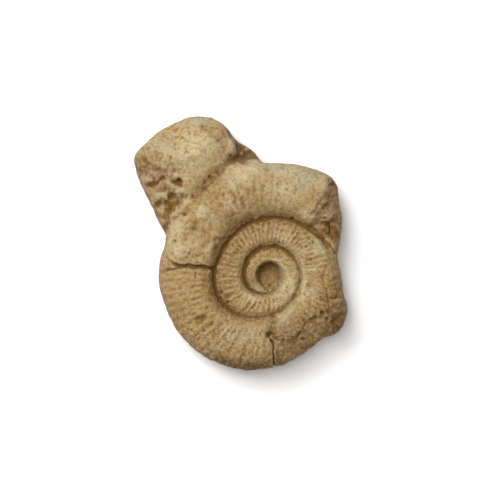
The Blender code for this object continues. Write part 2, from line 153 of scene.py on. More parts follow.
RIB_SHARPNESS = 1.2  # the power that makes a rib narrower than a furrow
RIB_MEAN = 0.9  # the wave's mean, taken off again
RIB_WEAR = 0.3  # share of a rib that is left on the worn outer edge of the coil
WORN_BELOW = (14, 18)  # heights over which that wear ends

# The lump of rock beside the coil: a dome cut by sloping faces. Each face is a point on it, its
# height there, the way it falls and how steeply.
LUMP_TOP = (-32, 48, 27.5)
LUMP_CURVE = 0.006  # how far the dome falls, by the square of the distance from its top
LUMP_BROKEN = ((-44, 42.6), 26.2, (-0.5, -0.86), 0.95)
LUMP_FACES = [
    LUMP_BROKEN,
    ((-35, 36.5), 24.8, (-0.85, -0.5), 0.5),  # where the broken face turns in to the coil
    ((-19, 53), 24.6, (0.9, -0.3), 0.3),  # the gentle slope above the drop on the right
    ((-24, 44), 25.8, (0.684, -0.729), 0.24),  # the slope down to the valley
    ((-30, 58), 24.4, (-0.3, 1), 0.3),  # the far end
]
FACE_BLEND = 1.0  # height over which two faces round into each other
LUMP_FOOT = 20.0  # the lowest that these faces go
FOOT_BLEND = 2.5
LUMP_DROP = ((-13, 50), 19, (0.95, 0.3), 3.6)  # the steep drop on the right
# The side that meets the coil: a point, the way out, how far out it is and over what width.
LUMP_SIDE = ((-23.2, 39.2), (0.684, -0.729), 1.6, 4.5)
LOW_FACET = ((-13, 50), 15.6, (0.9, 0.3), 0.3)  # the low face between lump and coil
LOW_FACET_RISE = 1.5  # it is level this far above its point
LOW_FACET_END = 6.0  # and falls away this far from its point, towards the coil
LOW_FACET_BLEND = 1.5
EDGE_HEIGHT = [  # by bearing, the height that coil and lump slope down to where they meet
    (180, 13), (200, 17), (208, 21), (216, 22.6), (228, 23.2), (243, 22.8), (252, 20), (260, 16),
    (280, 13),
]
COIL_EDGE_WIDTH = 5.0  # width of the coil's slope there
EDGE_FALL = 1.2  # how steeply each falls away beyond that
VALLEY_BLEND = 2.0

LEDGE = [
    (-44.5, 12), (-41.6, 9.6), (-39.6, 6.2), (-38, 4.7), (-34, 3.7), (-29.2, 3.3), (-23.2, 2.9),
    (-19, 2.6),
]
BROKEN_END = [(25.6, 43), (23.6, 34), (21.6, 28.8), (19.4, 24.8), (15.4, 21), (10, 17.5)]
FAR_CORNER = [
    (31, -8), (22, -13), (17.8, -17), (14.7, -19.2), (12.7, -22), (10, -25), (0.8, -24.6), (2, -30),
    (1.8, -40),
]
# An area lies on a line's left: the line, the width over which the area starts, how far off it
# ends and over what width. A step is an area, and how much higher it is.
STEPS = [
    ((LEDGE, 1.4, 19.5, 13), 1.3),
    ((FAR_CORNER, 2, 15, 10), -1.1),
    ((BROKEN_END, 6, 21, 14), -3.6),
]
STEPS_START = (23, 26)  # radii over which the steps start, outside the inner coil

# Cracks: a line, its width and its depth.
CRACKS = [
    ([(2.4, -17), (1.4, -20.5), (0.6, -23.8)], 1.5, 0.9),
    ([(0.4, -24), (1.6, -27.4), (1.8, -31), (2.1, -35.2), (2.2, -40)], 0.38, 1.6),
    ([(1.6, -24.4), (6, -24.3), (10, -24.8)], 0.4, 0.25),
    ([(18.4, -16.6), (16.6, -17.8), (14.7, -19.2), (13.2, -21.4)], 0.6, 0.6),
    ([(13.2, -21.4), (11.8, -23.6), (10.6, -27)], 0.5, 0.3),
    ([(22.4, 2.8), (21.4, 0.4), (21.2, -2.4)], 0.5, 0.3),
    ([(22.8, -6), (23.2, -10.8), (23.2, -15.2)], 0.5, 0.35),
    ([(20.4, -8.8), (28.4, -9.2)], 0.4, 0.25),
    ([(5.6, -25.2), (6, -30)], 0.4, 0.25),
    ([(-38.2, 4.4), (-36.4, 3.7), (-33.4, 3.3), (-31.8, 3.9), (-29.6, 3)], 0.55, 0.7),
    ([(-31.8, 3.9), (-29.6, 3), (-27, 3.4), (-24.2, 2.4), (-22.4, 2.6)], 0.8, 1),
    ([(-40.4, 1.9), (-37.2, 2.6), (-34.4, 2.8)], 0.6, 0.5),
    ([(-29.2, 1), (-29.2, -1.2)], 0.35, 0.6),
    ([(20.8, 29.4), (19.4, 27.4), (18.6, 25.2), (16.6, 24)], 1.1, 0.55),
    ([(22.8, 28), (21.6, 26.4)], 0.9, 0.4),
    ([(23.2, 19.6), (24.8, 15)], 1.4, 1.2),
    ([(-48, 35.6), (-44.7, 36.4), (-42.2, 38.4)], 0.8, 0.5),
    ([(-53, 46.2), (-49.6, 45.7), (-46.6, 44), (-44.9, 42.2), (-41, 41.2)], 1, 0.28),
    ([(-35.2, 18.4), (-28, 18.4), (-22.8, 15.6), (-19.6, 14)], 0.7, 0.15),
]
# Pits and knobs: a middle, a radius and a depth, which is negative for a knob.
PITS = [
    (-36.3, 36.6, 1.4, 2.6), (-38.6, 36.4, 1.2, 1), (-35.4, 35, 1, 0.7), (-38.6, 31.2, 1.3, 1.1),
    (-41, 28.8, 1.1, 1), (-44.2, 28.2, 1.2, 0.9), (-39.8, 26.4, 1, 0.8), (-33.6, 24, 1, 0.7),
    (-39.2, 46.2, 0.5, 0.35), (-44.2, 32, 1.6, -0.5), (-41.4, 32.2, 1.2, -0.6), (-39.8, 36.4, 1, -0.5),
    (-43, 25, 1.6, -0.6), (-34.6, 31, 1.6, -0.4), (-42, 21.6, 1.4, -0.5), (-23.6, 38.8, 0.8, 0.35),
    (-20.5, 40.4, 0.8, 0.3), (-25.8, 34.4, 0.9, 0.35), (-30.4, 31.2, 1, 0.4), (-31.6, 8.4, 0.6, 0.6),
    (-32.4, 6.8, 0.5, 0.5), (-28.4, 7.6, 0.5, 0.5), (-19.6, -7.2, 0.9, 0.9), (-19.6, -9.6, 0.7, 0.6),
    (-16.8, -11.2, 0.7, 0.6), (-16, -12.8, 0.6, 0.5), (0, -24, 1.3, 1.2), (13.6, -25.6, 0.8, 0.6),
    (22.8, -17.8, 0.9, 1.3), (21, -15, 0.9, 0.6), (27, -8.8, 0.7, 0.9), (26.6, -19, 2.4, 1.9),
    (16.4, 6, 0.6, 0.4), (15.6, -4, 0.8, 0.45), (14, -7.6, 0.5, 0.35), (12.8, 6.8, 0.6, 0.35),
    (14.8, 11.2, 0.5, 0.35), (20.8, 20.2, 1.2, 0.6), (24.2, 18.8, 2.2, 2.6), (25.8, 21.6, 1.2, 1),
    (24.4, 15.6, 1.8, 2.6), (22, 22.6, 0.8, 0.9), (24.8, 36.2, 1.5, 1.1), (23.6, 37.8, 0.8, 0.5),
    (0.2, -4.2, 0.6, 0.5), (9.2, 22, 0.7, 0.7), (-28, -18.2, 1.5, 1), (-25.6, -16.5, 1.2, 0.9),
    (-25, -18.9, 1.3, -0.5), (-23.4, -15.4, 1.4, -0.3), (2.4, -18.6, 0.9, 0.5), (-21.2, 14.2, 1, 0.6),
    (-37.6, 13.4, 0.7, 0.4), (26.4, -12.6, 3.4, -1.8), (-19.8, 2.8, 1.3, -0.6), (-26.4, 5.4, 2, -0.5),
    (-30, 5.4, 0.8, -0.4), (16, 21.4, 2.2, -1), (21.8, 23.2, 1.2, -0.4), (3, -15.8, 0.8, -0.6),
    (14, -22.4, 2.4, -0.6), (22.4, -12.4, 2.2, -0.5),
]

# The surface is drawn on a unit ball. Going down from its pole, the points lie on the stone's top
# as far as TOP_END, on the rounding down to the widest line at WIDEST, then on the lower rounding,
# and from UNDERSIDE_START on the underside.
BALL_STEPS = 8
BALL_HEIGHT = 2.0
TOP_END = 0.845
WIDEST = 1.486
UNDERSIDE_START = 1.83
MOST_TRIANGLES = 196000

# -------------------- curves


def curve(knots, at):
    """A smooth curve through (position, value) knots that never overshoots them, read at some places."""
    xs, ys = np.array(knots, float).T
    steps = np.diff(xs)
    climbs = np.diff(ys) / steps
    same_way = climbs[:-1] * climbs[1:] > 0
    ahead = np.where(same_way, climbs[1:], 1)
    behind = np.where(same_way, climbs[:-1], 1)
    near, far = steps[:-1] + 2 * steps[1:], 2 * steps[:-1] + steps[1:]
    middle = np.where(same_way, (near + far) / (near / behind + far / ahead), 0)
    slopes = np.concatenate([[climbs[0]], middle, [climbs[-1]]])
    at = np.clip(at, xs[0], xs[-1])
    i = np.clip(np.searchsorted(xs, at) - 1, 0, len(xs) - 2)
    h = xs[i + 1] - xs[i]
    t = (at - xs[i]) / h
    value = ys[i] * (1 + 2 * t) * (1 - t) ** 2 + ys[i + 1] * t * t * (3 - 2 * t)
    return value + h * t * (1 - t) * (slopes[i] * (1 - t) - slopes[i + 1] * t)


def closed_outline(corners, steps=6):
    """Points along the smooth closed curve through these corners."""
    p = np.array(corners, float)
    before, after, beyond = np.roll(p, 1, 0), np.roll(p, -1, 0), np.roll(p, -2, 0)
    leaving = (after - before) / 2
    arriving = (beyond - p) / 2
    runs = []
    for t in np.arange(steps) / steps:
        straight = p * (1 + 2 * t) * (1 - t) ** 2 + after * t * t * (3 - 2 * t)
        runs.append(straight + t * (1 - t) * (leaving * (1 - t) - arriving * t))
    return np.stack(runs, 1).reshape(-1, 2)


def bearing_of(x, y):
    return np.degrees(np.arctan2(-y, x)) % 360


def smooth_step(x):
    x = np.clip(x, 0, 1)
    return x * x * (3 - 2 * x)


def ramp(value, start, end):
    """0 as far as the start and 1 from the end on. The end may be lower than the start."""
    return smooth_step((value - start) / (end - start))


def smooth_max(a, b, blend):
    """The larger of the two, with the corner where they meet rounded over this height."""
    h = np.clip(0.5 + (a - b) / (2 * blend), 0, 1)
    return b + (a - b) * h + blend * h * (1 - h)


def smooth_min(a, b, blend):
    return -smooth_max(-a, -b, blend)


def shoulder(distance, width, fullness=2.0):
    """A slope that rises from 0 at the edge to 1 from this width inwards, where it is level.

    At fullness 1 it is part of a parabola, at fullness 2 a quarter of an ellipse.
    """
    return (1 - (1 - np.clip(distance / width, 0, 1)) ** 2) ** (1 / fullness)


def bell(distance, width):
    """1 at no distance, falling away to about a third at this width and to nothing beyond."""
    return np.exp(-((distance / width) ** 2))


def distance_to_line(x, y, line):
    """How far each point is from a line of straight runs, and on which side (+ on its left)."""
    equal = 1e-6  # distances to two runs that differ by less are to the corner between them
    nearest = np.full(x.shape, np.inf)
    aside = np.zeros(x.shape)
    for (ax, ay), (bx, by) in zip(line[:-1], line[1:]):
        dx, dy = bx - ax, by - ay
        length = math.hypot(dx, dy)
        t = np.clip(((x - ax) * dx + (y - ay) * dy) / length**2, 0, 1)
        distance = np.hypot(x - ax - t * dx, y - ay - t * dy)
        left = (dx * (y - ay) - dy * (x - ax)) / length
        same = np.abs(distance - nearest) < equal
        better = (distance < nearest) & ~same | same & (np.abs(left) > np.abs(aside))
        aside = np.where(better, left, aside)
        nearest = np.minimum(nearest, distance)
    return nearest, np.sign(aside)


def beside(x, y, line, width, end, fade):
    """1 in an area beside a line, and 0 elsewhere."""
    away, side = distance_to_line(x, y, line)
    return smooth_step(0.5 + side * away / width) * ramp(away, end, end - fade)


def falling_face(x, y, through, height, down, slope):
    """Height of a flat face through a point, falling by slope millimetres a millimetre this way."""
    way = (x - through[0]) * down[0] + (y - through[1]) * down[1]
    return height - slope * way / math.hypot(*down)


def rough(points, size, octaves, shift=0.0):
    """Fractal noise, mostly within -1 to 1, whose largest lumps are about this size."""
    places = ((points + shift) / size).tolist()
    return np.array([noise.fractal(p, 1.0, 2.0, octaves) for p in places])


def wander(points, size, amount):
    """The points' places on the table, shifted by smooth noise, so that a drawn line wanders."""
    shift = np.array([noise.noise_vector(p)[:2] for p in (points / size).tolist()])
    return (points[:, :2] + amount * shift).T


def cells(points, size, shift=0.0):
    """Distance from each point to the nearest of scattered centres, in cell sizes."""
    return np.array([noise.voronoi(p)[0][0] for p in ((points + shift) / size).tolist()])


def pebbled(points, size, shift=0.0):
    """Round swellings side by side, each highest in its middle, with a mean near 0."""
    between = 0.9  # distance from a middle at which the gap between two swellings is reached
    return between / 2 - np.clip(cells(points, size, shift), 0, between)


# -------------------- the coil


def whorl_at(x, y):
    """The turn angle of the whorl at each point, and the radius of the groove on either side.

    In the pit, inside every whorl, the turn angle is below FIRST_TURN.
    """
    bearing = bearing_of(x, y)
    turn = np.where(bearing < FIRST_TURN, bearing, bearing - 360)
    for _ in range(WHORLS):
        turn = np.where(np.hypot(x, y) > curve(SEAM_RADIUS, turn), turn + 360, turn)
    return turn, curve(SEAM_RADIUS, turn - 360), curve(SEAM_RADIUS, turn)


def nearest_groove(x, y):
    """The turn angle of the groove nearest each point, and how far away it is."""
    turn, inner, outer = whorl_at(x, y)
    radius = np.hypot(x, y)
    past_inner, to_outer = radius - inner, outer - radius
    return np.where(past_inner < to_outer, turn - 360, turn), np.minimum(past_inner, to_outer)


def coil_height(x, y):
    """Height of the coil's whorls, as if the outer one went on outwards for ever."""
    turn, inner, outer = whorl_at(x, y)
    radius = np.hypot(x, y)
    crest = curve(CREST_HEIGHT, turn)
    low = curve(SEAM_HEIGHT, turn - 360)
    wide = curve(INNER_SLOPE, turn)
    rise = low + (crest - low) * shoulder(radius - inner, wide, WHORL_FULLNESS)
    low = curve(SEAM_HEIGHT, turn)
    wide = np.minimum(OUTER_SLOPE * (outer - inner), WIDEST_OUTER_SLOPE)
    fall = low + (crest - low) * shoulder(outer - radius, wide, WHORL_FULLNESS)
    whorl = smooth_min(rise, fall, CREST_BLEND)
    groove_turn, _ = nearest_groove(x, y)
    fill = curve(SEAM_HEIGHT, groove_turn) + curve(GROOVE_FILL, groove_turn)
    fill = np.minimum(fill, curve(CREST_HEIGHT, groove_turn) - FILL_BELOW_CREST)
    whorl = np.where(turn > FIRST_TURN, smooth_max(whorl, fill, FILL_BLEND), whorl)
    up_the_wall = np.clip(radius / outer, 0, 1) ** PIT_STEEPNESS
    pit = PIT_FLOOR + (curve(SEAM_HEIGHT, turn) - PIT_FLOOR) * up_the_wall
    return np.where(turn < FIRST_TURN, pit, whorl)


def rib_wave(x, y):
    """The ribs: a wave along every whorl, fading out at the grooves."""
    turn, inner, outer = whorl_at(x, y)
    outer = np.minimum(outer, RIBBED_RADIUS)
    across = np.clip((np.hypot(x, y) - inner) / (outer - inner), 0, PAST_WHORL)
    knots = np.arange(0, COUNTED_TURNS, COUNT_STEP)
    in_each_step = curve(RIBS_PER_TURN, knots[:-1] + COUNT_STEP / 2) * COUNT_STEP / 360
    counted = np.concatenate([[0], np.cumsum(in_each_step)])
    ribs = curve(list(zip(knots, counted)), turn - RIB_LEAN * across)
    wave = 2 * (0.5 + 0.5 * np.cos(2 * math.pi * ribs)) ** RIB_SHARPNESS - RIB_MEAN
    shown = ramp(across, *RIB_START) * ramp(curve(RIB_REACH, turn) - across, 0, RIB_END)
    shown = shown * np.where(turn < OUTER_WHORL, ramp(across, *RIB_GROOVE_END), 1)
    return np.where(turn < FIRST_TURN, 0, wave * shown * curve(RIB_HEIGHT, turn))


# -------------------- the whole stone


def inside_coil_edge(x, y):
    return curve(COIL_EDGE, bearing_of(x, y)) - np.hypot(x, y)


def sloped_down(x, y, height, inside, width):
    """The height, sloping down over this width to where coil and lump meet, and on past there."""
    edge = curve(EDGE_HEIGHT, bearing_of(x, y))
    height = edge + (height - edge) * shoulder(inside, width, fullness=1.0)
    return height + EDGE_FALL * np.minimum(inside, 0)


def low_facet(x, y):
    (_, point_y), level, _, _ = LOW_FACET
    facet = np.minimum(falling_face(x, y, *LOW_FACET), level + LOW_FACET_RISE)
    return facet - EDGE_FALL * np.maximum(point_y - LOW_FACET_END - y, 0)


def lump_dome(x, y):
    return LUMP_TOP[2] - LUMP_CURVE * ((x - LUMP_TOP[0]) ** 2 + (y - LUMP_TOP[1]) ** 2)


def lump_height(x, y):
    """Height of the lump and of the low facet beside it."""
    height = lump_dome(x, y)
    for face in LUMP_FACES:
        height = smooth_min(height, falling_face(x, y, *face), FACE_BLEND)
    height = smooth_max(height, LUMP_FOOT, FOOT_BLEND)
    height = smooth_min(height, falling_face(x, y, *LUMP_DROP), FACE_BLEND)
    (side_x, side_y), (out_x, out_y), beyond, width = LUMP_SIDE
    inside = beyond - (x - side_x) * out_x - (y - side_y) * out_y
    height = sloped_down(x, y, height, inside, width)
    return smooth_max(height, low_facet(x, y), LOW_FACET_BLEND)


def top_height(x, y, points):
    """Height of the stone's upper side, before its edge is rounded."""
    coil = coil_height(x, y)
    wx, wy = wander(points, size=4.0, amount=1.0)
    for area, height in STEPS:
        coil = coil + height * beside(wx, wy, *area) * ramp(np.hypot(x, y), *STEPS_START)
    coil = sloped_down(x, y, coil, inside_coil_edge(x, y), COIL_EDGE_WIDTH)
    lump = lump_height((wx + x) / 2, (wy + y) / 2)  # its faces wander half as far as the steps
    return smooth_max(coil, lump, VALLEY_BLEND)


def carve_depth(points):
    """How far cracks and pits go into the stone, and knobs out of it."""
    x, y = wander(points, size=2.5, amount=0.4)
    depth = np.zeros(x.shape)
    for line, width, deep in CRACKS:
        away, _ = distance_to_line(x, y, line)
        depth = np.maximum(depth, deep * bell(away, width))
    for pit_x, pit_y, size, deep in PITS:
        depth = depth + deep * bell(np.hypot(x - pit_x, y - pit_y), size)
    return depth


def stone_points(ball):
    """Lays a unit ball's points on the stone, the upper ones on top and the lower ones beneath."""
    outline = closed_outline(OUTLINE)
    turns = np.arctan2(outline[:, 1], outline[:, 0]) % (2 * math.pi)
    outline = np.roll(outline, -int(np.argmin(turns)), 0)
    turns = np.sort(turns)
    angle = np.arctan2(ball[:, 1], ball[:, 0]) % (2 * math.pi)
    last = np.searchsorted(turns, angle) % len(turns)
    (ax, ay), (bx, by) = outline[last - 1].T, outline[last].T
    across = np.cos(angle) * (by - ay) - np.sin(angle) * (bx - ax)
    reach = (ax * by - bx * ay) / across

    down = 1 - ball[:, 2]
    bearing = np.degrees(-angle) % 360
    top_edge = curve(TOP_EDGE, bearing)
    under_edge = curve(UNDERSIDE_EDGE, bearing)
    top_share = top_edge / reach
    under_share = under_edge / reach
    rim = np.clip((down - TOP_END) / (WIDEST - TOP_END), 0, 1) * math.pi / 2
    under = np.clip((down - WIDEST) / (UNDERSIDE_START - WIDEST), 0, 1) * math.pi / 2
    left = np.clip((BALL_HEIGHT - down) / (BALL_HEIGHT - UNDERSIDE_START), 0, 1)
    share = (1 - top_share) * np.sqrt(np.clip(down / TOP_END, 0, 1))
    share = np.where(down > TOP_END, 1 - top_share * (1 - np.sin(rim)), share)
    share = np.where(down > WIDEST, 1 - under_share * (1 - np.cos(under)), share)
    share = np.where(down > UNDERSIDE_START, (1 - under_share) * np.sqrt(left), share)

    x = reach * share * np.cos(angle)
    y = reach * share * np.sin(angle)
    from_edge, _ = distance_to_line(x, y, np.vstack([outline, outline[:1]]).tolist())
    top = top_height(x, y, np.stack([x, y, 0 * x], 1))
    rim_height = curve(RIM_HEIGHT, bearing)
    upper = rim_height + (top - rim_height) * shoulder(from_edge, top_edge)
    lower = rim_height * (1 - shoulder(from_edge, under_edge))
    return np.stack([x, y, np.where(down < WIDEST, upper, lower)], 1)


# -------------------- the skin

# Rough rock. A pair is where something starts and where it is full.
ROCK_EDGE = (4, 0)  # distance in from the outer whorl's own edge
ROUGH_SLAB = (LEDGE, 2, 22, 10)
ROUGH_SLAB_RADIUS = (23, 27)
ROUGH_END = (BROKEN_END, 3, 16, 4)
ROUGH_END_SHARE = 0.7
ROUGH_CORNER = (FAR_CORNER, 3, 14, 6)
ROUGH_CORNER_SHARE = 0.2

# The freshly broken faces.
FACE_BELOW_DOME = (0, 1.5)
FACE_X = (-30, -34)
FACE_Y = (19, 24)
FACET_X = (-17.5, -16)
FACET_Y = (44.5, 46)
END_FACE = (BROKEN_END, 2, 14, 4)
END_FACE_Y = (10, 13)

CHIP_STRETCH = (1, 1, 0.6)  # chips are longer downwards
UNEVEN_RIBS = (0.8, 1.7, 1.5)  # mean, change and most of the ribs' unevenness
RIBS_INSIDE = (0, 3)  # distance in from the coil's edge
LOW_SIDE_START = (2, 6)  # heights of the undercut
LOW_SIDE_END = (12, 7)
INNER_COIL = (24, 20)  # radii of the coarser grain of the inner coil
INNER_COIL_PIT = (5, 6.5)
SWIRL_PLACE = (-25, -18)  # the swirled rock on the outer whorl
SWIRL_SPREAD = 80.0  # by the square of the distance
KNOBBLY_SLOPE = 0.4  # the knobbly lower right lies beyond a line of this slope
KNOBBLY_START = (4, 12)
KNOBBLY_RADIUS = (19, 23)
SKIN_START = (UNDERSIDE_HEIGHT, 9)  # heights over which all relief starts

# How high each kind of relief is, millimetres.
SWELL_HEIGHT = 0.3
LUMP_RELIEF = 0.18
MORE_ON_ROCK = 0.08
MORE_ON_BROKEN = 0.1
MORE_ON_SWIRL = 0.2
MORE_ON_KNOBBLY = 0.26
GRAIN_HEIGHT = 0.08
MORE_INNER_GRAIN = 0.06
PEBBLE_HEIGHT = 0.08
MORE_INNER_PEBBLES = 0.14
CHIP_HEIGHT = 0.1
POCK_RADIUS = 0.22  # in cell sizes
POCK_DEPTH = 0.06
MORE_POCKS_ON_ROCK = 0.1


def rock_cover(x, y):
    """1 where rough rock covers the coil or stands beside it, 0 where the mould itself shows."""
    outside = ramp(inside_coil_edge(x, y), *ROCK_EDGE)
    slab = beside(x, y, *ROUGH_SLAB) * ramp(np.hypot(x, y), *ROUGH_SLAB_RADIUS)
    end = ROUGH_END_SHARE * beside(x, y, *ROUGH_END)
    corner = ROUGH_CORNER_SHARE * beside(x, y, *ROUGH_CORNER)
    return np.maximum.reduce([outside, slab, end, corner])


def broken_rock(x, y):
    """1 on the freshly broken faces: the lump's left face, the low facet and the coil's end."""
    below_dome = lump_dome(x, y) - falling_face(x, y, *LUMP_BROKEN)
    face = ramp(below_dome, *FACE_BELOW_DOME) * ramp(x, *FACE_X) * ramp(y, *FACE_Y)
    facet = ramp(x, *FACET_X) * ramp(y, *FACET_Y)
    end = beside(x, y, *END_FACE) * ramp(y, *END_FACE_Y)
    return np.maximum.reduce([face, facet, end])


def rib_relief(points):
    """The ribs, worn low down on the coil's outer edge and uneven everywhere."""
    from_edge = inside_coil_edge(points[:, 0], points[:, 1])
    worn = RIB_WEAR + (1 - RIB_WEAR) * ramp(points[:, 2], *WORN_BELOW)
    mean, change, most = UNEVEN_RIBS
    uneven = np.clip(mean + change * rough(points, size=3.0, octaves=2), 0.0, most)
    wave = rib_wave(*wander(points, size=3.0, amount=0.35))
    return wave * ramp(from_edge, *RIBS_INSIDE) * worn * uneven


def skin_relief(points):
    """How far the skin stands out of the plain stone: ribs, roughness, cracks and pits."""
    x, y, z = points.T
    radius = np.hypot(x, y)
    rock = rock_cover(x, y)
    broken = broken_rock(x, y)
    swell = SWELL_HEIGHT * rough(points, size=11.0, octaves=2)
    from_swirl = (x - SWIRL_PLACE[0]) ** 2 + (y - SWIRL_PLACE[1]) ** 2
    knobbly = ramp(KNOBBLY_SLOPE * x - y, *KNOBBLY_START) * ramp(radius, *KNOBBLY_RADIUS)
    lumpy = LUMP_RELIEF + MORE_ON_ROCK * rock + MORE_ON_BROKEN * broken
    lumpy = lumpy + MORE_ON_SWIRL * np.exp(-from_swirl / SWIRL_SPREAD)
    lumpy = lumpy + MORE_ON_KNOBBLY * knobbly
    lumpy = lumpy * rough(points, size=3.0, octaves=3, shift=7.0)
    inner = ramp(radius, *INNER_COIL) * ramp(radius, *INNER_COIL_PIT)
    grain = GRAIN_HEIGHT + MORE_INNER_GRAIN * inner
    grain = grain * rough(points, size=1.2, octaves=2, shift=3.0)
    pebbles = PEBBLE_HEIGHT + MORE_INNER_PEBBLES * inner
    pebbles = pebbles * pebbled(points, size=1.5, shift=50.0)
    chips = broken * CHIP_HEIGHT * pebbled(points * CHIP_STRETCH, size=4.2)
    pocks = ramp(cells(points, size=2.6, shift=30.0), POCK_RADIUS, 0)
    pocks = pocks * (POCK_DEPTH + MORE_POCKS_ON_ROCK * rock) * (1 - broken)
    groove_turn, away = nearest_groove(*wander(points, size=3.0, amount=0.25))
    cut = curve(GROOVE_CUT, groove_turn) * bell(away, GROOVE_CUT_WIDTH)
    relief = rib_relief(points) + swell + lumpy + grain + pebbles + chips
    relief = relief - pocks - cut - carve_depth(points)
    low_side = ramp(z, *LOW_SIDE_START) * ramp(z, *LOW_SIDE_END)
    uneven = (1 + rough(points, size=17.0, octaves=2, shift=-20.0)) / 2
    return relief * ramp(z, *SKIN_START) - UNDERCUT * low_side * uneven


def underside_hollows(points):
    """How far the underside goes up off the table, clear of the flat patch in its middle."""
    from_middle = np.hypot(points[:, 0] - MIDDLE[0], points[:, 1] - MIDDLE[1])
    outside_patch = ramp(from_middle, REST_PATCH, REST_PATCH + HOLLOW_START)
    hollow = HOLLOW_DEPTH * rough(points, size=26.0, octaves=2, shift=40.0)
    return np.maximum(hollow * outside_patch, 0)


# -------------------- reading and writing the mesh


def read_points(mesh):
    """The mesh's corners, in millimetres round the coil's axis."""
    flat = np.empty(len(mesh.vertices) * 3, np.float32)
    mesh.vertices.foreach_get("co", flat)
    return flat.reshape(-1, 3).astype(float)


def read_normals(mesh):
    flat = np.empty(len(mesh.vertices) * 3, np.float32)
    mesh.vertex_normals.foreach_get("vector", flat)
    return flat.reshape(-1, 3).astype(float)


def write_points(mesh, points):
    mesh.vertices.foreach_set("co", points.astype(np.float32).ravel())
    mesh.update()


def thinned(mesh, most):
    """The same mesh with only so many triangles, fewest where it is flat."""
    draft = bpy.data.objects.new("draft", mesh)
    bpy.context.scene.collection.objects.link(draft)
    thin = draft.modifiers.new("thin", "DECIMATE")
    thin.ratio = most / len(mesh.polygons)
    graph = bpy.context.evaluated_depsgraph_get()
    result = bpy.data.meshes.new_from_object(draft.evaluated_get(graph))
    bpy.data.objects.remove(draft)
    bpy.data.meshes.remove(mesh)
    return result


def neighbour_mean(mesh, values, rounds):
    """Each corner's values, half of them taken from its neighbours' mean, this many times."""
    ends = np.empty(len(mesh.edges) * 2, np.int32)
    mesh.edges.foreach_get("vertices", ends)
    a, b = ends.reshape(-1, 2).T
    here, there = np.r_[a, b], np.r_[b, a]
    count = np.bincount(here, minlength=len(values))
    for _ in range(rounds):
        total = [np.bincount(here, v[there], len(values)) for v in values.T]
        values = (values + np.stack(total, 1) / count[:, None]) / 2
    return values


def hollowness(mesh, points, rounds):
    """How far each corner lies below the mean of the surface round it, in millimetres."""
    return ((neighbour_mean(mesh, points, rounds) - points) * read_normals(mesh)).sum(1)


# -------------------- stains, crusts, painted shade and highlights

# Each mark is a middle, a radius across X and across Y, and a strength.
BROWN_SOIL_AND_SHADE_MARKS = [  # soil with ragged edges, and painted shade on a few rims and cavities
    (-23.6, 58, 4, 1.6, 0.5), (-19.4, 54.6, 2, 2, 0.4), (-4, 1.2, 0.8, 2.2, 0.6),
    (-2.2, 3.7, 1.8, 0.9, 0.6), (1.2, 4.7, 2, 0.7, 0.3), (-37.6, 13.4, 1.2, 0.7, 0.5),
    (-35.4, 27.4, 2.4, 1.2, 0.35), (16.6, 6.2, 1.1, 0.9, 0.4), (15.8, -4.2, 1.2, 1, 0.4),
    (17.6, 13, 1.6, 1.2, 0.3), (24.4, 5.6, 1.2, 1.8, 0.3), (25.6, -3, 1, 1.6, 0.3),
    (-33.2, 15.2, 0.6, 2.6, 0.3), (-30, 18.4, 5, 0.6, 0.3), (-21.4, 14.2, 1.6, 0.8, 0.5),
    (-39.2, 46.2, 0.8, 0.8, 0.6), (-35.2, 44.6, 2, 1.4, 0.3), (-30, 46, 1.4, 1, 0.3),
    (-0.8, 41.6, 1.6, 0.8, 0.4), (1.6, 38.8, 1.2, 1, 0.3), (4.8, 42.8, 1.2, 0.8, 0.35),
    (-16.4, 23.6, 4, 4, 0.35), (-34, 5.4, 3, 1.4, 0.4), (-27.4, 4.4, 2, 1.2, 0.4),
    (-38.4, 2.4, 2.6, 1.2, 0.4), (-27, -17.6, 2.2, 1.4, 0.6), (-17.6, -10, 2, 3.4, 0.5),
    # painted shade with soil in the corner hollow at the far right
    (20.8, -14.6, 3, 2.4, 0.35), (25.6, 35.6, 2, 2.6, 0.6), (12, -27, 8, 4, 0.3),
    (-36.8, 36.8, 1.6, 1.2, 0.7), (-38.6, 31.2, 1.6, 1, 0.5), (-41, 28.8, 1.2, 1.2, 0.4),
    (-39.8, 26.4, 0.9, 1.3, 0.35), (-44.2, 28.2, 0.9, 1.2, 0.35), (-47.6, 35.8, 1, 0.8, 0.6),
    (-44.6, 36.6, 2.2, 0.8, 0.5), (-42.2, 38.2, 1.2, 1.1, 0.4), (-44.4, 42.4, 1.4, 0.6, 0.5),
    (-40.4, 41.2, 2.6, 0.6, 0.35), (-48.4, 45.4, 2, 0.5, 0.35), (-33.6, 24, 1.1, 0.9, 0.5),
    # painted shade with soil on the shaded rim at the lower right and in the cavity at the broken end
    (26, -21.4, 3.4, 2.4, 0.95), (23.4, 17.2, 3.2, 3, 0.95), (25.6, 16, 2, 4, 0.8),
    (1.4, -19.6, 2.2, 3.4, 0.35), (0.6, -24.2, 2.2, 1.6, 0.75), (0.4, -3.4, 1.4, 1.2, 0.5),
    (-36.4, 35.8, 1.6, 1.4, 0.5), (-30.4, 31.2, 1.4, 1, 0.5), (-20.4, 40.6, 1.3, 1, 0.4),
    (-23.6, 38.9, 1.1, 0.9, 0.5), (-25.8, 34.4, 1, 0.8, 0.5),
]
